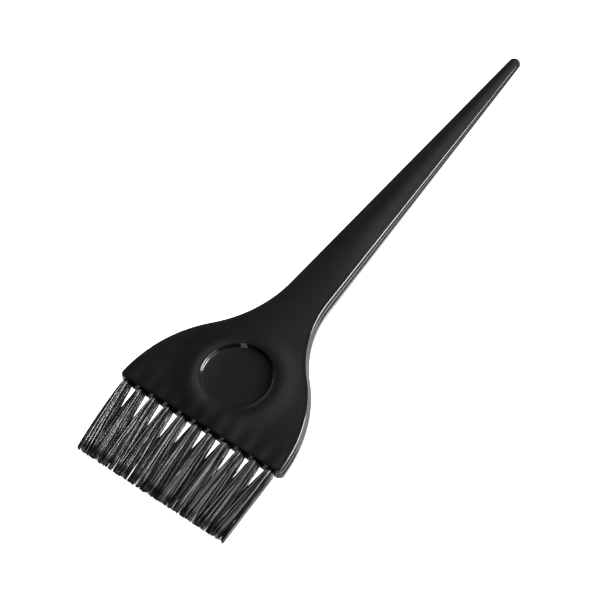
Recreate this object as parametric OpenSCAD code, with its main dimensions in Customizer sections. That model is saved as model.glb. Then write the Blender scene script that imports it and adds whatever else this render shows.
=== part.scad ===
// Wide tint brush for hair colour.
// One moulding makes the paddle head and the long tapered handle. A single row of bristle tufts
// fills blind sockets in the head's end face, and each tuft is folded round a flat metal anchor
// that is pressed across the bottom of its socket.
// The brush lies on its flat back: X runs across the head, Y towards the tip of the handle, Z up.
// The origin is on the resting plane, under the middle of the whole brush.

/* [Handle outline] */
// Length of the moulding, from the bristle edge to the tip of the handle
handle_len = 191; // [175:1:205]
// Width of the head at the bristle edge
head_w = 66.2; // [65.5:0.1:70]
// Radius of the convex arc at each side of the head
shoulder_r = 48.3; // [46:0.1:54]
// Radius of the concave arc from the head into the handle
neck_r = 43.7; // [38:0.1:48]
// Width of the handle where its straight taper begins
stem_w = 15.4; // [13:0.1:18]
// Distance from the bristle edge at which that width is measured
stem_y = 66; // [64:1:70]
// Radius of the handle's rounded tip
tip_r = 1.9; // [1.6:0.1:2.2]

/* [Handle section] */
// Thickness of the side wall at the bristle edge
edge_h = 5.2; // [5:0.1:6]
// Thickness of the side wall at the widest part of the head
head_h = 5.8; // [5.4:0.1:6.2]
// Thickness of the side wall at the tip
tip_h = 2.2; // [1.8:0.1:2.6]
// How far the handle's crown stands above its side walls, as a share of half the width
crown_share = 0.16; // [0.1:0.01:0.18]

/* [Thumb recess] */
// Diameter of the round recess
recess_d = 24.4; // [20:0.1:26]
// Depth of the recess below the swell round it
recess_depth = 2; // [1.5:0.1:2.5]
// Distance of its centre from the bristle edge
recess_y = 21; // [20:0.5:23]
// Height of the swell round the recess above the face
swell_h = 0.5; // [0.3:0.1:0.7]

/* [Bristles] */
// Number of tufts in the row
tuft_count = 11; // [9:1:11]
// Distance from one tuft to the next
tuft_pitch = 5.95; // [5.8:0.05:6.1]
// Length of bristle that stands out of the head
bristle_out = 29; // [20:1:35]
// Diameter of the blind sockets
socket_d = 3.4; // [3:0.1:3.6]
// Depth of the sockets
socket_depth = 9; // [7:0.5:10]
// Width of a tuft at its trimmed tip
tuft_tip_w = 5.25; // [4:0.05:5.25]
// Thickness of a tuft at its trimmed tip
tuft_tip_t = 2.8; // [2.4:0.1:4]
// How far the tips of the row lean to one side
tip_lean = 2.4; // [0:0.1:3]
// Spacing of the tips as a share of the spacing of the roots
tip_gather = 0.915; // [0.91:0.005:1]

/* [Anchors] */
// Length of an anchor across its socket, longer than the socket is wide
anchor_len = 4.4; // [4:0.1:4.6]
// Width of an anchor along its socket
anchor_w = 1.6; // [1.2:0.1:2]
// Thickness of an anchor's metal
anchor_t = 0.35; // [0.3:0.05:0.5]
// Thickness of the folded bristles under an anchor
fold_t = 0.7; // [0.5:0.1:1]

/* [Hidden] */
$fn = 96;
eps = 0.01;

// edge_y is the head's end face. The bristle tips lie as far from the origin as the handle's tip.
edge_y = bristle_out - (handle_len + bristle_out) / 2;
recess_at = [0, edge_y + recess_y];

// The straight taper of the handle: a line at distance taper_d from [0, edge_y], whose outward
// normal leans by taper degrees from X.
taper = atan((stem_w / 2 - tip_r) / (handle_len - tip_r - stem_y));
taper_d = stem_w / 2 * cos(taper) + stem_y * sin(taper);

// The neck arc touches the shoulder arc and the taper. Points are given from [0, edge_y].
shoulder_c = [head_w / 2 - shoulder_r, 0];
across = taper_d + neck_r - shoulder_c[0] * cos(taper);
along = sqrt(pow(shoulder_r + neck_r, 2) - pow(across, 2));
neck_c = shoulder_c + across * [cos(taper), sin(taper)] + along * [-sin(taper), cos(taper)];
shoulder_turn = atan2(neck_c[1] - shoulder_c[1], neck_c[0] - shoulder_c[0]);
tip_c = [0, handle_len - tip_r];
arc_steps = 18;

// Heights above the resting plane
head_h_y = 25;
neck_h_y = 50;
neck_h = head_h - 0.1;
swell_r = 0.65 * recess_d;
swell_arc_r = 12;
swell_top = head_h + swell_h;
tuft_z = edge_h / 2;
tip_z = tuft_z - 0.3;
tuft_d = socket_d - 0.1;
fan_d = socket_d + 0.1;
fan_gap = 0.05;
flute_r = 0.45 * tuft_pitch;
flute_len = 7;
flute_rise = 0.3;
crown_limit = neck_h + 1;
all_h = 20;
below = -1;
over = 1;

// Height of the side wall and half the handle's width, at a distance from the bristle edge
function wall_h(y) = neck_h + (tip_h - neck_h) * (y - neck_h_y) / (handle_len - neck_h_y);
function half_w(y) = (taper_d - y * sin(taper)) / cos(taper);
// Radius of the round crown over a strip of half width w that rises by crown_share of w
function crown_r(w) = w * (1 + pow(crown_share, 2)) / (2 * crown_share);

// Place of tuft number i in the row, counted from 0
function tuft_x(i) = (i - (tuft_count - 1) / 2) * tuft_pitch;
function tuft_tip_x(i) = tuft_x(i) * tip_gather + tip_lean;

// Points on an arc, without its first point
function arc(centre, r, from, to) = [
    for (k = [1 : arc_steps])
        let (turn = from + (to - from) * k / arc_steps)
            centre + r * [cos(turn), sin(turn)]
];

// The right half of the outline, from the bristle edge to the very tip, from [0, edge_y]
half_outline = concat(
    [[head_w / 2, 0]],
    arc(shoulder_c, shoulder_r, 0, shoulder_turn),
    arc(neck_c, neck_r, 180 + shoulder_turn, 180 + taper),
    [tip_c + tip_r * [cos(taper), sin(taper)]],
    arc(tip_c, tip_r, taper, 90)
);
left_outline = [
    for (k = [len(half_outline) - 2 : -1 : 0])
        [-half_outline[k][0], half_outline[k][1]]
];

// A solid whose outline in the YZ plane is given from [edge_y, 0], wider than the head
module side_profile(points) {
    translate([0, edge_y, 0])
        rotate([90, 0, 90])
            linear_extrude(head_w + 2, center = true)
                polygon(points);
}

// The handle's rounded front: a slightly leaning cone that runs under its whole length
module crown() {
    y1 = neck_h_y - 10;
    y2 = handle_len + 1;
    r1 = crown_r(half_w(y1));
    r2 = crown_r(half_w(y2));
    z1 = wall_h(y1) + crown_share * half_w(y1) - r1;
    z2 = wall_h(y2) + crown_share * half_w(y2) - r2;
    lean = atan((z2 - z1) / (y2 - y1));
    intersection() {
        translate([0, edge_y + y1, z1])
            rotate([lean - 90, 0, 0])
                cylinder(h = (y2 - y1) / cos(lean), r1 = r1, r2 = r2);
        side_profile([
            [y1, below],
            [y1, neck_h - 1],
            [neck_h_y + 8, crown_limit],
            [y2, crown_limit],
            [y2, below]
        ]);
    }
}

// The low ring that swells round the recess
module swell() {
    translate([recess_at[0], recess_at[1], swell_top - swell_arc_r])
        rotate_extrude()
            translate([swell_r, 0]) circle(swell_arc_r);
}

// One low flute on the face over each socket
module flutes() {
    for (i = [0 : tuft_count - 1])
        translate([tuft_x(i), edge_y + flute_len, edge_h + flute_rise - flute_r])
            rotate([90, 0, 0])
                cylinder(h = flute_len, r = flute_r);
}

module solid_handle() {
    intersection() {
        translate([0, edge_y, 0]) linear_extrude(all_h)
            polygon(concat(half_outline, left_outline));
        union() {
            side_profile([
                [-over, below],
                [handle_len + over, below],
                [handle_len + over, wall_h(handle_len + over)],
                [neck_h_y, neck_h],
                [head_h_y, head_h],
                [0, edge_h],
                [-over, edge_h]
            ]);
            crown();
            swell();
            flutes();
        }
    }
}

module handle() {
    color("#1a1a1b")
        difference() {
            solid_handle();
            translate([recess_at[0], recess_at[1], swell_top - recess_depth])
                cylinder(h = all_h, d = recess_d);
            for (i = [0 : tuft_count - 1]) {
                translate([tuft_x(i), edge_y + socket_depth, tuft_z])
                    rotate([90, 0, 0])
                        cylinder(h = socket_depth + 1, d = socket_d);
                anchor_solid(i);
            }
        }
}

// One tuft: its round root fills the socket, and just outside the head it swells a little and
// fans out into a flat end. A slot holds the anchor.
module tuft(i) {
    color("#2b2b2d")
        difference() {
            union() {
                translate([tuft_x(i), edge_y + socket_depth, tuft_z])
                    rotate([90, 0, 0])
                        cylinder(h = socket_depth + 0.5, d = tuft_d);
                tuft_fan(i);
            }
            anchor_solid(i);
        }
}

module tuft_fan(i) {
    corner_x = (tuft_tip_w - tuft_tip_t) / 2;
    hull() {
        translate([tuft_x(i), edge_y - fan_gap, tuft_z])
            rotate([90, 0, 0])
                cylinder(h = eps, d = fan_d, $fn = 32);
        for (side = [-1, 1])
            translate([tuft_tip_x(i) + side * corner_x, edge_y - bristle_out + eps, tip_z])
                rotate([90, 0, 0])
                    cylinder(h = eps, d = tuft_tip_t, $fn = 32);
    }
}

module anchor_solid(i) {
    at_y = edge_y + socket_depth - fold_t - anchor_w / 2;
    translate([tuft_x(i), at_y, tuft_z])
        cube([anchor_len, anchor_w, anchor_t], center = true);
}

module anchor(i) {
    color("#c8a04a") anchor_solid(i);
}

handle();
tuft(0);  // tuft_01
tuft(1);  // tuft_02
tuft(2);  // tuft_03
tuft(3);  // tuft_04
tuft(4);  // tuft_05
tuft(5);  // tuft_06
tuft(6);  // tuft_07
tuft(7);  // tuft_08
tuft(8);  // tuft_09
tuft(9);  // tuft_10
tuft(10);  // tuft_11
anchor(0);  // anchor_01
anchor(1);  // anchor_02
anchor(2);  // anchor_03
anchor(3);  // anchor_04
anchor(4);  // anchor_05
anchor(5);  // anchor_06
anchor(6);  // anchor_07
anchor(7);  // anchor_08
anchor(8);  // anchor_09
anchor(9);  // anchor_10
anchor(10);  // anchor_11
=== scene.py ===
import math
import random

import bmesh
import bpy
from mathutils import Matrix, Vector


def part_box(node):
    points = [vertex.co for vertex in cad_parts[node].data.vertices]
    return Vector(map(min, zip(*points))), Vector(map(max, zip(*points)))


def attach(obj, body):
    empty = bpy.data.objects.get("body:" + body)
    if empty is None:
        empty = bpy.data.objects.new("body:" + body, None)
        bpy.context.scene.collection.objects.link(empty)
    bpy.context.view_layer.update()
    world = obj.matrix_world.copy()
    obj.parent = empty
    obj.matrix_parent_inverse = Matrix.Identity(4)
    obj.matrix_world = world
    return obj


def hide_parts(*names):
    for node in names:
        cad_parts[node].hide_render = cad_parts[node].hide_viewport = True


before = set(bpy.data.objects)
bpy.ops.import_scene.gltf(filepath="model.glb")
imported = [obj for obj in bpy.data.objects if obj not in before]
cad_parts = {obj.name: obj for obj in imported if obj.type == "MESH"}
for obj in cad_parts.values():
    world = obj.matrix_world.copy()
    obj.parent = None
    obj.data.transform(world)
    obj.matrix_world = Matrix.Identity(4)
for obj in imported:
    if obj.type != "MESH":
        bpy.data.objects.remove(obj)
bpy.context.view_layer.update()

# ---------------------------------------------------------------------------------------------
# Sizes, in millimetres, in the frame of the CAD model: X across the head, Y towards the tip of
# the handle, Z up from the flat back. Distances "along" are from the bristle edge.
# ---------------------------------------------------------------------------------------------
MM = 0.001
HEAD_LO, HEAD_HI = (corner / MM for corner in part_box("handle"))
EDGE_Y = HEAD_LO.y
HANDLE_LEN = HEAD_HI.y - HEAD_LO.y
HALF_HEAD = HEAD_HI.x
SHOULDER_R = 48.3
NECK_R = 43.7
STEM_HALF, STEM_AT = 7.7, 66.0
TIP_R = 1.9
CORNER_R = 1.6

# Section of the handle: heights at the bristle edge, in the head and at the tip
EDGE_H, HEAD_H, TIP_H = 5.2, 5.8, 2.2
HEAD_RISE_LEN = 26.0
THIN_FROM, THIN_BEND = 50.0, 14.0
HEAD_DOME = 0.2
STEM_CROWN, CROWN_LEN = 0.13, 44.0
FRONT_FILLET = 0.4
LIP_RISE, LIP_WIDTH = 0.05, 1.2
EDGE_DROOP, DROOP_LEN = 0.18, 7.0

# Side wall: each step goes out by STEP_OUT on a slope of STEP_TILT degrees. STEP_BANDS gives where
# each slope starts and its band ends, as shares of the wall's height.
STEP_OUT, STEP_TILT, STEP_LEAN = 0.43, 36.5, 0.05
STEP_BANDS = ((0.9, 0.6), (0.6, 0.16))
FOOT = ((0.12, 0.07), (0.24, 0.02), (0.42, 0.0))
CORNER_FLARE = 0.35

# Thumb recess and the swell round it
RECESS_AT = 21.0
RECESS_R = 12.2
FLOOR_Z = 4.3
RIM_FILLET = 0.38
FLOOR_FILLET = 0.4
SWELL_AT = RECESS_AT - 0.7
SWELL_R = 1.27 * RECESS_R
SWELL_H = 0.5
SWELL_FADE = 0.34 * RECESS_R
DISH, DISH_FROM = 0.9, 0.4
# The part of the front that is built in rings round the recess, as distances along, and as a
# share of the columns each side of the middle
BLOCK_FROM, BLOCK_TO, BLOCK_SHARE = 4.0, 38.5, 0.31

# Tufts and their sockets
TUFT_COUNT = 11
ANCHORS = [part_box(f"anchor_{k:02d}") for k in range(1, TUFT_COUNT + 1)]
TUFTS = [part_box(f"tuft_{k:02d}") for k in range(1, TUFT_COUNT + 1)]
SOCKET_R = 1.7
SOCKET_DEPTH = 9.0
DRILL_OUT = 3.0
BULGE, BULGE_LOW, BULGE_HIGH = 0.5, 0.08, 0.86
FLUTE_RISE, FLUTE_LEN = 0.12, 12.0
TIP_GATHER, TIP_LEAN = 0.915, 2.4
TIP_HALF_X, TIP_HALF_Z = 3.75, 1.2
FILAMENT_R = 0.14
FILAMENTS = 116
# Distances along over which the cut ends and the end face turn from matt to glossy
CUT_END = (-28.6, -28.0)
MATT_END = (0.1, 1.6)


def smooth(t):
    """Rises from 0 to 1 with no kink."""
    t = min(max(t, 0.0), 1.0)
    return t * t * (3 - 2 * t)


def mix(a, b, t):
    return a + (b - a) * t


def soft_ramp(t, reach):
    """0 below -reach and t above reach, with a smooth bend between."""
    if t <= -reach:
        return 0.0
    if t >= reach:
        return t
    return (t + reach) ** 2 / (4 * reach)


# ---------------------------------------------------------------------------------------------
# Outline of the handle
# ---------------------------------------------------------------------------------------------
def right_rail():
    """The right half of the outline as (point, outward normal) pairs, from the bristle edge to
    the tip: a rounded corner, the shoulder arc, the neck arc, the straight taper, the tip."""
    taper = math.atan((STEM_HALF - TIP_R) / (HANDLE_LEN - TIP_R - STEM_AT))
    side = Vector((math.cos(taper), math.sin(taper)))
    on = Vector((-side.y, side.x))
    taper_d = STEM_HALF * side.x + STEM_AT * side.y
    shoulder = Vector((HALF_HEAD - SHOULDER_R, 0.0))
    across = taper_d + NECK_R - shoulder.x * side.x
    reach = math.sqrt((SHOULDER_R + NECK_R) ** 2 - across**2)
    neck = shoulder + across * side + reach * on
    turn = math.atan2(neck.y - shoulder.y, neck.x - shoulder.x)
    corner_x = shoulder.x + math.sqrt((SHOULDER_R - CORNER_R) ** 2 - CORNER_R**2)
    corner = Vector((corner_x, CORNER_R))
    corner_turn = math.atan2(CORNER_R, corner_x - shoulder.x)
    tip = Vector((0.0, HANDLE_LEN - TIP_R))
    rail = []

    def add_arc(centre, radius, start, end, steps, hollow=False):
        for k in range(steps + 1):
            a = start + (end - start) * k / steps
            out = Vector((math.cos(a), math.sin(a)))
            point = centre + radius * out
            if not rail or (rail[-1][0] - point).length > 1e-4:
                rail.append((point, -out if hollow else out))

    add_arc(corner, CORNER_R, -math.pi / 2, corner_turn, 8)
    add_arc(shoulder, SHOULDER_R, corner_turn, turn, 64)
    add_arc(neck, NECK_R, math.pi + turn, math.pi + taper, 48, hollow=True)
    start, end = rail[-1][0].copy(), tip + TIP_R * side
    stem_steps = 64
    rail += [(start.lerp(end, k / stem_steps), side.copy()) for k in range(1, stem_steps)]
    add_arc(tip, TIP_R, taper, math.pi / 2, 10)
    return rail


RAIL = right_rail()
LAST = len(RAIL) - 1
COLUMNS = 176


def half_width(along):
    """Half the handle's width at a distance from the bristle edge."""
    for (p, _), (q, _) in zip(RAIL, RAIL[1:]):
        if p.y <= along <= q.y:
            return mix(p.x, q.x, (along - p.y) / max(q.y - p.y, 1e-9))
    return RAIL[0][0].x if along < CORNER_R else 0.0


# ---------------------------------------------------------------------------------------------
# Height of the front face
# ---------------------------------------------------------------------------------------------
def wall_height(along):
    """Top of the side wall: it rises a little into the head, then thins evenly to the tip."""
    slope = (HEAD_H - TIP_H) / (HANDLE_LEN - THIN_FROM)
    rise = mix(EDGE_H, HEAD_H, smooth(along / HEAD_RISE_LEN))
    return rise - slope * soft_ramp(along - THIN_FROM, THIN_BEND)


def front_height(x, along, half):
    """Height of the front face at x, where the handle is `half` wide on each side."""
    share = min(abs(x) / max(half, 1e-6), 1.0)
    crown = mix(HEAD_DOME, STEM_CROWN * half, smooth((along - STEM_AT) / CROWN_LEN))
    z = wall_height(along) + crown * (1 - share * share)
    rho = math.hypot(x, along - SWELL_AT)
    if rho < SWELL_R:
        z += SWELL_H * (1 - ((SWELL_R - rho) / (SWELL_R - RECESS_R)) ** 2)
    else:
        z += SWELL_H * math.exp(-(((rho - SWELL_R) / SWELL_FADE) ** 2))
    z += LIP_RISE * max(1 - (half - abs(x)) / LIP_WIDTH, 0.0) ** 2
    z -= EDGE_DROOP * max(1 - along / DROOP_LEN, 0.0) ** 2
    wave = 0.5 + 0.5 * math.cos(2 * math.pi * x / tuft_pitch())
    return z + FLUTE_RISE * wave * (1 - smooth(along / FLUTE_LEN))


def floor_height(radius):
    """The recess floor is flat in the middle and rises a little towards its wall."""
    return FLOOR_Z + DISH * max(radius / RECESS_R - DISH_FROM, 0.0) ** 2


def socket_axis(index):
    """X and Z of a socket, in mm, from the anchor that lies across it."""
    lo, hi = ANCHORS[index]
    middle = (lo + hi) / 2 / MM
    return middle.x, middle.z


def tuft_pitch():
    return (socket_axis(TUFT_COUNT - 1)[0] - socket_axis(0)[0]) / (TUFT_COUNT - 1)


# ---------------------------------------------------------------------------------------------
# Mesh helpers
# ---------------------------------------------------------------------------------------------
def add_point(mesh, x, along, z):
    return mesh.verts.new((x * MM, (EDGE_Y + along) * MM, z * MM))


def add_face(mesh, corners):
    """A face from its corners, leaving out any that come twice."""
    loop = [v for k, v in enumerate(corners) if v is not corners[k - 1]]
    if len(set(loop)) == len(loop) and len(loop) > 2:
        mesh.faces.new(loop)


def join_rings(mesh, outer, inner):
    """Faces between two closed rings of the same number of points."""
    for k in range(len(outer)):
        add_face(mesh, (outer[k - 1], outer[k], inner[k], inner[k - 1]))


def finish_mesh(name, mesh, material, sharp_deg=None):
    bmesh.ops.recalc_face_normals(mesh, faces=mesh.faces)
    data = bpy.data.meshes.new(name)
    mesh.to_mesh(data)
    mesh.free()
    data.materials.append(material)
    data.shade_smooth()
    if sharp_deg:
        data.set_sharp_from_angle(angle=math.radians(sharp_deg))
    piece = bpy.data.objects.new(name, data)
    bpy.context.scene.collection.objects.link(piece)
    return piece


# ---------------------------------------------------------------------------------------------
# Handle
# ---------------------------------------------------------------------------------------------
def face_grid(mesh, inset, height, hole=None):
    """Points of the front or back face in rows across the handle. Rows follow the outline, moved
    in by `inset`, and the last row is one point at the tip. hole leaves out a block of points."""
    rows = []
    for j, (point, normal) in enumerate(RAIL):
        edge = point - inset * normal
        if j == LAST:
            tip = add_point(mesh, 0.0, edge.y, height(0.0, edge.y, 1.0))
            rows.append([tip] * (COLUMNS + 1))
            break
        row = []
        for i in range(COLUMNS + 1):
            inside = hole and hole[0] < j < hole[1] and hole[2] < i < hole[3]
            x = edge.x * (2 * i / COLUMNS - 1)
            row.append(None if inside else add_point(mesh, x, edge.y, height(x, edge.y, edge.x)))
        rows.append(row)
    return rows


def fill_grid(mesh, rows):
    for low, high in zip(rows, rows[1:]):
        for i in range(COLUMNS):
            corners = (low[i], low[i + 1], high[i + 1], high[i])
            if None not in corners:
                add_face(mesh, corners)


def grid_edge(rows):
    """The closed edge of a face grid, anticlockwise from the right-hand bristle corner."""
    right = [row[COLUMNS] for row in rows]
    left = [row[0] for row in reversed(rows[:-1])]
    return right + left + rows[0][1:COLUMNS]


def outline_loop():
    """(point, outward normal) of the whole outline, in the order of grid_edge."""
    right = list(RAIL)
    flip = Vector((-1, 1))
    left = [(p * flip, n * flip) for p, n in reversed(RAIL[:-1])]
    end = RAIL[0][0].x
    across = [end * (2 * i / COLUMNS - 1) for i in range(1, COLUMNS)]
    front = [(Vector((x, 0.0)), Vector((0, -1))) for x in across]
    return right + left + front


def wall_profile(top, flare):
    """(inset, height) of the side wall from the front fillet down to the flat back: a narrow
    flange, then two steps outwards, each a slope and a band that leans in a little below.
    flare is 1 along the sides and less on the end face."""
    points = []
    for k in range(1, 7):
        a = math.pi / 2 * k / 6
        points.append((FRONT_FILLET * (1 - math.sin(a)), top - FRONT_FILLET * (1 - math.cos(a))))
    step = STEP_OUT * math.sqrt(top / HEAD_H)
    fall = step / math.tan(math.radians(STEP_TILT))
    out = 0.0
    for start, end in STEP_BANDS:
        points.append((-out * flare, start * top))
        out += step
        points.append((-out * flare, start * top - fall))
        points.append((-(out - 0.01) * flare, mix(start * top - fall, end * top, 0.5)))
        out -= STEP_LEAN
    points.append((-out * flare, STEP_BANDS[-1][1] * top))
    points += [(inset - out * flare, share * top) for inset, share in FOOT]
    return points


def end_bulge(x, z, top):
    """How far the end face swells out between two sockets."""
    share = z / top
    if not BULGE_LOW < share < BULGE_HIGH or abs(x) > HALF_HEAD - 2:
        return 0.0
    between = 0.5 - 0.5 * math.cos(2 * math.pi * (x - socket_axis(0)[0]) / tuft_pitch())
    rise = math.sin(math.pi * (share - BULGE_LOW) / (BULGE_HIGH - BULGE_LOW))
    return BULGE * between**1.3 * rise


def build_handle(material):
    mesh = bmesh.new()
    block = [j for j, (p, _) in enumerate(RAIL) if BLOCK_FROM <= p.y <= BLOCK_TO]
    spread = round(BLOCK_SHARE * COLUMNS)
    low, high = block[0], block[-1]
    left, right = COLUMNS // 2 - spread, COLUMNS // 2 + spread
    front = face_grid(mesh, FRONT_FILLET, front_height, hole=(low, high, left, right))
    fill_grid(mesh, front)

    # Rings from the block's edge in to the recess, down its wall and over its floor
    ring = (
        [front[low][i] for i in range(left, right)]
        + [front[j][right] for j in range(low, high)]
        + [front[high][i] for i in range(right, left, -1)]
        + [front[j][left] for j in range(high, low, -1)]
    )
    centre = Vector((0.0, RECESS_AT))
    spokes = [Vector((v.co.x / MM, v.co.y / MM - EDGE_Y)) - centre for v in ring]
    rim_r = RECESS_R + RIM_FILLET
    steps = 18
    for k in range(1, steps + 1):
        inner = []
        for spoke in spokes:
            point = centre + spoke.normalized() * mix(spoke.length, rim_r, (k / steps) ** 0.8)
            half = max(half_width(point.y) - FRONT_FILLET, abs(point.x))
            inner.append(add_point(mesh, point.x, point.y, front_height(point.x, point.y, half)))
        join_rings(mesh, ring, inner)
        ring = inner
    rim_z = [v.co.z / MM for v in ring]

    def inner_ring(radius, drop=None, level=None):
        points = []
        for spoke, rim in zip(spokes, rim_z):
            at = centre + spoke.normalized() * radius
            points.append(add_point(mesh, at.x, at.y, rim - drop if level is None else level))
        join_rings(mesh, ring, points)
        return points

    for k in range(1, 5):
        a = math.pi / 2 * k / 4
        ring = inner_ring(rim_r - RIM_FILLET * math.sin(a), drop=RIM_FILLET * (1 - math.cos(a)))
    foot_r = RECESS_R - 0.04
    foot_z = floor_height(foot_r - FLOOR_FILLET)
    for k in range(6):
        a = math.pi / 2 * k / 5
        ring = inner_ring(
            foot_r - FLOOR_FILLET * (1 - math.cos(a)),
            level=foot_z + FLOOR_FILLET * (1 - math.sin(a)),
        )
    for k in range(1, 16):
        radius = mix(foot_r - FLOOR_FILLET, 0.8, k / 15)
        ring = inner_ring(radius, level=floor_height(radius))
    mesh.faces.new(ring)

    # Side wall, then the flat back
    outline = outline_loop()
    edge = grid_edge(front)
    tops = [v.co.z / MM for v in edge]
    flares = [mix(CORNER_FLARE, 1.0, smooth(1 + n.y * 1.3)) for _, n in outline]
    profiles = [wall_profile(top, flare) for top, flare in zip(tops, flares)]
    for k in range(len(profiles[0])):
        points = []
        for (point, normal), profile in zip(outline, profiles):
            inset, z = profile[k]
            at = point - inset * normal
            if normal.y < -0.99:
                at.y -= end_bulge(at.x, z, profile[0][1])
            points.append(add_point(mesh, at.x, at.y, z))
        join_rings(mesh, edge, points)
        edge = points
    mesh.faces.new(list(reversed(edge)))
    bmesh.ops.remove_doubles(mesh, verts=mesh.verts, dist=1e-7)
    return finish_mesh("handle_moulding", mesh, material)


def drill_sockets(piece):
    """Cuts the blind sockets into the end face."""
    mesh = bmesh.new()
    for index in range(TUFT_COUNT):
        x, z = socket_axis(index)
        middle = Vector((x, EDGE_Y + (SOCKET_DEPTH - DRILL_OUT) / 2, z)) * MM
        place = Matrix.Translation(middle) @ Matrix.Rotation(math.pi / 2, 4, "X")
        bmesh.ops.create_cone(
            mesh,
            cap_ends=True,
            segments=40,
            radius1=SOCKET_R * MM,
            radius2=SOCKET_R * MM,
            depth=(SOCKET_DEPTH + DRILL_OUT) * MM,
            matrix=place,
        )
    drill = finish_mesh("drill", mesh, piece.data.materials[0])
    cut = piece.modifiers.new("sockets", "BOOLEAN")
    cut.operation = "DIFFERENCE"
    cut.solver = "EXACT"
    cut.object = drill
    graph = bpy.context.evaluated_depsgraph_get()
    data = bpy.data.meshes.new_from_object(piece.evaluated_get(graph))
    piece.modifiers.clear()
    piece.data = data
    piece.data.set_sharp_from_angle(angle=math.radians(25))
    bpy.data.objects.remove(drill)


# ---------------------------------------------------------------------------------------------
# Tufts: separate filaments, each folded in a U round the anchor
# ---------------------------------------------------------------------------------------------
SIDES = 6
LEG_STEPS = 11


def add_tube(mesh, path, radii):
    """A closed tube along a path that lies mostly in a plane of constant X."""
    across = Vector((1, 0, 0))
    rings = []
    for k, point in enumerate(path):
        ahead = path[min(k + 1, len(path) - 1)]
        behind = path[max(k - 1, 0)]
        along = (ahead - behind).normalized()
        e1 = (across - along * along.dot(across)).normalized()
        e2 = along.cross(e1)
        ring = []
        for s in range(SIDES):
            a = 2 * math.pi * s / SIDES
            at = point + (e1 * math.cos(a) + e2 * math.sin(a)) * radii[k]
            ring.append(mesh.verts.new(at * MM))
        rings.append(ring)
    for ring, following in zip(rings, rings[1:]):
        join_rings(mesh, ring, following)
    mesh.faces.new(rings[0])
    mesh.faces.new(rings[-1])


def squared(a, b):
    """Moves a point of the unit disc to a rounded square."""
    reach = math.hypot(a, b)
    if reach < 1e-6:
        return a, b
    stretch = reach / (a**4 + b**4) ** 0.25
    return a * stretch, b * stretch


class Tuft:
    """Where one tuft starts and ends, in mm."""

    def __init__(self, index):
        self.rng = random.Random(4100 + index)
        self.root_x, self.root_z = socket_axis(index)
        self.tip_y = (TUFTS[index][0] / MM).y
        self.tip_x = self.root_x * TIP_GATHER + TIP_LEAN
        self.tip_z = self.root_z - 0.3
        self.first = index == 0
        self.last = index == TUFT_COUNT - 1
        self.fold_y = (ANCHORS[index][1] / MM).y
        self.clumps = [
            (self.rng.uniform(-1, 1), self.rng.uniform(-1, 1)) for _ in range(9)
        ]

    def tip_point(self, a, b):
        """Where the filament that starts at (a, b) of the unit disc ends."""
        sa, sb = squared(a, b)
        near = min(self.clumps, key=lambda c: (c[0] - sa) ** 2 + (c[1] - sb) ** 2)
        sa = mix(sa, near[0], 0.08)
        sb = mix(sb, near[1], 0.2)
        x = sa * TIP_HALF_X + self.rng.gauss(0, 0.55)
        z = sb * TIP_HALF_Z + self.rng.gauss(0, 0.2)
        low = -2.7 if self.first else -4.0
        high = 2.7 if self.last else 4.0
        x = min(max(x, low), high)
        z = min(max(z, -1.6), 1.7)
        short = abs(self.rng.gauss(0, 0.3)) + (1.2 if self.rng.random() < 0.04 else 0)
        return Vector((self.tip_x + x, self.tip_y + 0.2 + min(short, 2.0), self.tip_z + z))

    def leg(self, a, b):
        """Points of one leg from beside the anchor out to the trimmed tip."""
        packed = SOCKET_R - FILAMENT_R - 0.08
        tip = self.tip_point(a, b)
        bow = self.rng.gauss(0, 0.12)
        beside_anchor = math.copysign(mix(0.32, packed, abs(b)), b)
        points = [
            Vector((self.root_x + a * packed, self.fold_y, self.root_z + beside_anchor)),
            Vector((self.root_x + a * packed, EDGE_Y + 3.5, self.root_z + b * packed)),
        ]
        mouth = Vector((self.root_x + a * packed, EDGE_Y + 0.4, self.root_z + b * packed))
        for k in range(LEG_STEPS + 1):
            t = (k / LEG_STEPS) ** 1.5
            spread = 1 - (1 - t) ** 1.5
            flare = 1 + 0.3 * smooth(t / 0.08) * (1 - spread)
            lean_x = mix(self.root_x, self.tip_x, t ** 1.25)
            lean_z = mix(self.root_z, self.tip_z, t * t)
            x = lean_x + mix((mouth.x - self.root_x) * flare, tip.x - self.tip_x, spread)
            z = lean_z + mix((mouth.z - self.root_z) * flare, tip.z - self.tip_z, spread)
            x += bow * math.sin(math.pi * t)
            points.append(Vector((x, mix(mouth.y, tip.y, t), z)))
        return points

    def fold(self, start, end):
        """The bend round the anchor, from one leg's start to the other's."""
        middle = (start + end) / 2
        reach = abs(start.z - end.z) / 2
        depth = 0.15 + 0.28 * reach
        points = []
        for k in range(1, 4):
            a = math.pi * k / 4
            points.append(
                Vector((
                    mix(start.x, end.x, k / 4),
                    self.fold_y + depth * math.sin(a),
                    middle.z + (start.z - middle.z) * math.cos(a),
                ))
            )
        return points


def build_tuft(index, material):
    tuft = Tuft(index)
    mesh = bmesh.new()
    golden = math.pi * (3 - math.sqrt(5))
    for k in range(FILAMENTS):
        reach = ((k + 0.5) / FILAMENTS) ** 0.42
        a, b = reach * math.cos(golden * k), reach * math.sin(golden * k)
        if b <= 0:
            continue
        upper, lower = tuft.leg(a, b), tuft.leg(a, -b)
        path = list(reversed(upper)) + tuft.fold(upper[0], lower[0]) + lower
        thick = FILAMENT_R * tuft.rng.uniform(0.85, 1.1)
        radii = [thick] * len(path)
        radii[0] = radii[-1] = thick * 0.8
        add_tube(mesh, path, radii)
    return finish_mesh(f"tuft_{index + 1:02d}_filaments", mesh, material)


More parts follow.
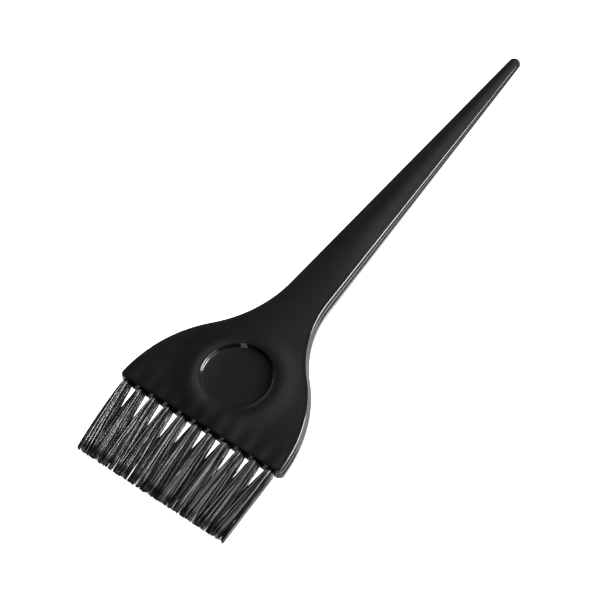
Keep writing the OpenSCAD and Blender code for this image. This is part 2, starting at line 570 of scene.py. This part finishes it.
# ---------------------------------------------------------------------------------------------
# Materials
# ---------------------------------------------------------------------------------------------
def new_material(name):
    material = bpy.data.materials.new(name)
    material.use_nodes = True
    nodes = material.node_tree.nodes
    return material, nodes, material.node_tree.links, nodes["Principled BSDF"]


def noise(nodes, links, scale, detail=3.0, rough=0.5):
    """Noise that follows the object's own place, in metres."""
    place = nodes.new("ShaderNodeTexCoord")
    out = nodes.new("ShaderNodeTexNoise")
    out.inputs["Scale"].default_value = scale
    out.inputs["Detail"].default_value = detail
    out.inputs["Roughness"].default_value = rough
    links.new(place.outputs["Object"], out.inputs["Vector"])
    return out


def ramp(nodes, links, source, stops):
    out = nodes.new("ShaderNodeValToRGB")
    out.color_ramp.elements[0].position = stops[0][0]
    out.color_ramp.elements[0].color = stops[0][1]
    out.color_ramp.elements[1].position = stops[-1][0]
    out.color_ramp.elements[1].color = stops[-1][1]
    for position, colour in stops[1:-1]:
        out.color_ramp.elements.new(position).color = colour
    links.new(source, out.inputs["Fac"])
    return out


def grey(value):
    return (value, value, value, 1)


def spread_value(nodes, links, source, low, high):
    out = nodes.new("ShaderNodeMapRange")
    out.inputs["To Min"].default_value = low
    out.inputs["To Max"].default_value = high
    links.new(source, out.inputs["Value"])
    return out


def along_y(nodes, links, low, high):
    """0 below `low` and 1 above `high`, in mm along the brush from the bristle edge."""
    place = nodes.new("ShaderNodeTexCoord")
    split = nodes.new("ShaderNodeSeparateXYZ")
    links.new(place.outputs["Object"], split.inputs["Vector"])
    out = spread_value(nodes, links, split.outputs["Y"], 0, 1)
    out.interpolation_type = "SMOOTHSTEP"
    out.inputs["From Min"].default_value = (EDGE_Y + low) * MM
    out.inputs["From Max"].default_value = (EDGE_Y + high) * MM
    return out.outputs["Result"]


def gloss_plastic():
    """Black moulded plastic: a high polish with faint sink marks and wiping haze. The drilled
    end face isn't polished."""
    material, nodes, links, shader = new_material("gloss_black_plastic")
    tone = ramp(
        nodes, links, noise(nodes, links, 90, 4).outputs["Fac"],
        [(0.3, (0.0036, 0.0036, 0.004, 1)), (0.7, (0.0056, 0.0056, 0.006, 1))],
    )
    links.new(tone.outputs["Color"], shader.inputs["Base Color"])
    haze = spread_value(nodes, links, noise(nodes, links, 60, 5, 0.6).outputs["Fac"], 0.07, 0.15)
    links.new(haze.outputs["Result"], shader.inputs["Roughness"])
    polished = along_y(nodes, links, *MATT_END)
    shine = spread_value(nodes, links, polished, 0.1, 0.5)
    links.new(shine.outputs["Result"], shader.inputs["Specular IOR Level"])
    sink = nodes.new("ShaderNodeBump")
    sink.inputs["Strength"].default_value = 0.25
    sink.inputs["Distance"].default_value = 0.0014
    links.new(noise(nodes, links, 45, 1).outputs["Fac"], sink.inputs["Height"])
    grain = nodes.new("ShaderNodeBump")
    grain.inputs["Strength"].default_value = 0.12
    grain.inputs["Distance"].default_value = 0.00001
    links.new(noise(nodes, links, 2500, 2).outputs["Fac"], grain.inputs["Height"])
    links.new(sink.outputs["Normal"], grain.inputs["Normal"])
    links.new(grain.outputs["Normal"], shader.inputs["Normal"])
    shader.inputs["IOR"].default_value = 1.5
    return material


def nylon():
    """Black nylon filament: each one has its own depth of black, sheen and polish; the lightest
    filament colours are a painted highlight, and painted shade darkens streaks along the tufts."""
    material, nodes, links, shader = new_material("bristle_nylon")
    island = nodes.new("ShaderNodeNewGeometry")
    # Colour per filament: a random depth of black, lifted towards grey at the top of the ramp as a
    # painted highlight.
    tone = ramp(
        nodes, links, island.outputs["Random Per Island"],
        [(0.0, grey(0.003)), (0.6, grey(0.012)), (1.0, grey(0.11))],
    )
    # Painted shade: noise stretched along the tufts darkens streaks of the filament colour,
    # standing in for shade between clumps of strands.
    place = nodes.new("ShaderNodeTexCoord")
    stretch = nodes.new("ShaderNodeMapping")
    stretch.inputs["Scale"].default_value = (1.0, 0.03, 0.6)
    strand_shade_noise = nodes.new("ShaderNodeTexNoise")
    strand_shade_noise.inputs["Scale"].default_value = 900
    strand_shade_noise.inputs["Detail"].default_value = 2
    links.new(place.outputs["Object"], stretch.inputs["Vector"])
    links.new(stretch.outputs["Vector"], strand_shade_noise.inputs["Vector"])
    depth = ramp(
        nodes, links, strand_shade_noise.outputs["Fac"],
        [(0.38, grey(0.2)), (0.5, grey(0.5)), (0.64, grey(1.0))],
    )
    # The filament colour, with its painted highlight, times the painted strand shade.
    tone_and_painted_light = nodes.new("ShaderNodeMix")
    tone_and_painted_light.data_type = "RGBA"
    tone_and_painted_light.blend_type = "MULTIPLY"
    tone_and_painted_light.inputs["Factor"].default_value = 1.0
    links.new(tone.outputs["Color"], tone_and_painted_light.inputs["A"])
    links.new(depth.outputs["Color"], tone_and_painted_light.inputs["B"])
    links.new(tone_and_painted_light.outputs["Result"], shader.inputs["Base Color"])
    polish = spread_value(nodes, links, island.outputs["Random Per Island"], 0.3, 0.2)
    links.new(polish.outputs["Result"], shader.inputs["Roughness"])
    sheen = ramp(
        nodes, links, island.outputs["Random Per Island"],
        [(0.0, grey(0.05)), (0.45, grey(0.16)), (0.75, grey(0.6)), (1.0, grey(1.0))],
    )
    cut_end = along_y(nodes, links, *CUT_END)
    shine = nodes.new("ShaderNodeMath")
    shine.operation = "MULTIPLY"
    links.new(sheen.outputs["Color"], shine.inputs[0])
    links.new(cut_end, shine.inputs[1])
    links.new(shine.outputs["Value"], shader.inputs["Specular IOR Level"])
    streak = nodes.new("ShaderNodeBump")
    streak.inputs["Strength"].default_value = 0.05
    streak.inputs["Distance"].default_value = 0.00002
    links.new(noise(nodes, links, 900, 2).outputs["Fac"], streak.inputs["Height"])
    links.new(streak.outputs["Normal"], shader.inputs["Normal"])
    shader.inputs["IOR"].default_value = 1.53
    return material


def anchor_brass():
    """Rolled brass strip with fine drawing lines."""
    material, nodes, links, shader = new_material("anchor_brass")
    tone = ramp(
        nodes, links, noise(nodes, links, 1500, 3).outputs["Fac"],
        [(0.3, (0.55, 0.38, 0.14, 1)), (0.7, (0.78, 0.58, 0.27, 1))],
    )
    links.new(tone.outputs["Color"], shader.inputs["Base Color"])
    polish = spread_value(nodes, links, noise(nodes, links, 4000, 2).outputs["Fac"], 0.2, 0.42)
    links.new(polish.outputs["Result"], shader.inputs["Roughness"])
    shader.inputs["Metallic"].default_value = 1.0
    return material


def floor_white():
    """A plain white table, lit from below as well as from above."""
    material, nodes, links, shader = new_material("floor_white")
    tone = ramp(
        nodes, links, noise(nodes, links, 3, 2).outputs["Fac"],
        [(0.3, grey(0.2)), (0.7, grey(0.24))],
    )
    links.new(tone.outputs["Color"], shader.inputs["Base Color"])
    shader.inputs["Roughness"].default_value = 0.9
    shader.inputs["Emission Color"].default_value = (1, 1, 1, 1)
    shader.inputs["Emission Strength"].default_value = 2.0
    return material


# ---------------------------------------------------------------------------------------------
# Camera, light and floor
# ---------------------------------------------------------------------------------------------
CAM_AZIMUTH, CAM_ELEVATION, CAM_ROLL = 42.2, 55.25, -6.85
CAM_TARGET = Vector((-2.1, -22.5, 2.6))
CAM_DISTANCE = 608.0
CAM_LENS = 107.4


def add_camera():
    data = bpy.data.cameras.new("camera")
    data.lens = CAM_LENS
    data.sensor_width = 36
    data.clip_start, data.clip_end = 0.01, 20
    camera = bpy.data.objects.new("camera", data)
    a, e = math.radians(CAM_AZIMUTH), math.radians(CAM_ELEVATION)
    back = Vector((math.sin(a) * math.cos(e), -math.cos(a) * math.cos(e), math.sin(e)))
    turn = (-back).to_track_quat("-Z", "Y").to_matrix().to_4x4()
    roll = Matrix.Rotation(math.radians(CAM_ROLL), 4, "Z")
    place = Matrix.Translation((CAM_TARGET + back * CAM_DISTANCE) * MM)
    camera.matrix_world = place @ turn @ roll
    bpy.context.scene.collection.objects.link(camera)
    bpy.context.scene.camera = camera


def add_softbox(name, place, aim, size, power):
    data = bpy.data.lights.new(name, "AREA")
    data.shape = "RECTANGLE"
    data.size, data.size_y = size
    data.energy = power
    light = bpy.data.objects.new(name, data)
    light.location = place
    light.rotation_mode = "QUATERNION"
    light.rotation_quaternion = (Vector(aim) - Vector(place)).to_track_quat("-Z", "Y")
    bpy.context.scene.collection.objects.link(light)


def add_world():
    """A dim studio: a soft band of light overhead, running along the brush, a bright wall far to
    the left, and darkness in front of the bristles."""
    world = bpy.data.worlds.new("studio")
    world.use_nodes = True
    nodes, links = world.node_tree.nodes, world.node_tree.links
    place = nodes.new("ShaderNodeTexCoord")
    split = nodes.new("ShaderNodeSeparateXYZ")
    links.new(place.outputs["Generated"], split.inputs["Vector"])
    side = spread_value(nodes, links, split.outputs["X"], 0, 1)
    side.inputs["From Min"].default_value = -1
    band = ramp(
        nodes, links, side.outputs["Result"],
        [
            (0.05, grey(0.83)), (0.1, grey(0.33)), (0.15, grey(0.1)), (0.2, grey(0.04)),
            (0.25, grey(0.03)), (0.315, grey(0.07)), (0.4, grey(0.18)), (0.45, grey(0.22)),
            (0.52, grey(0.11)), (0.6, grey(0.02)), (1.0, grey(0.013)),
        ],
    )
    band.color_ramp.interpolation = "EASE"
    rise = spread_value(nodes, links, split.outputs["Z"], 0, 3)
    rise.interpolation_type = "SMOOTHSTEP"
    rise.inputs["From Min"].default_value = -0.05
    rise.inputs["From Max"].default_value = 0.35
    behind = spread_value(nodes, links, split.outputs["Y"], 0, 1)
    behind.interpolation_type = "SMOOTHSTEP"
    behind.inputs["From Min"].default_value = -0.35
    behind.inputs["From Max"].default_value = 0.6
    level = nodes.new("ShaderNodeMath")
    level.operation = "MULTIPLY"
    links.new(rise.outputs["Result"], level.inputs[0])
    links.new(behind.outputs["Result"], level.inputs[1])
    links.new(band.outputs["Color"], nodes["Background"].inputs["Color"])
    links.new(level.outputs["Value"], nodes["Background"].inputs["Strength"])
    bpy.context.scene.world = world


def add_floor(material):
    mesh = bmesh.new()
    bmesh.ops.create_grid(mesh, x_segments=4, y_segments=4, size=3.0)
    floor = finish_mesh("floor", mesh, material)


# ---------------------------------------------------------------------------------------------
# Making the brush
# ---------------------------------------------------------------------------------------------
add_camera()
add_world()
add_floor(floor_white())
LIGHT_AIM = (0, -0.07, 0)
add_softbox("rear_softbox", (0.43, 0.3, 0.28), LIGHT_AIM, (0.3, 0.4), 13)
add_softbox("side_softbox", (0.53, 0.06, 0.3), LIGHT_AIM, (0.34, 0.4), 2.8)
add_softbox("front_softbox", (0.1, -0.55, 0.36), LIGHT_AIM, (0.14, 0.12), 0.9)

handle = build_handle(gloss_plastic())
drill_sockets(handle)
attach(handle, "root")
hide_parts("handle")

bristle = nylon()
brass = anchor_brass()
for number in range(TUFT_COUNT):
    filaments = build_tuft(number, bristle)
    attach(filaments, "root")
    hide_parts(f"tuft_{number + 1:02d}")
    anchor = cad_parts[f"anchor_{number + 1:02d}"]
    anchor.data.materials.clear()
    anchor.data.materials.append(brass)

bpy.context.scene.view_settings.view_transform = "Standard"
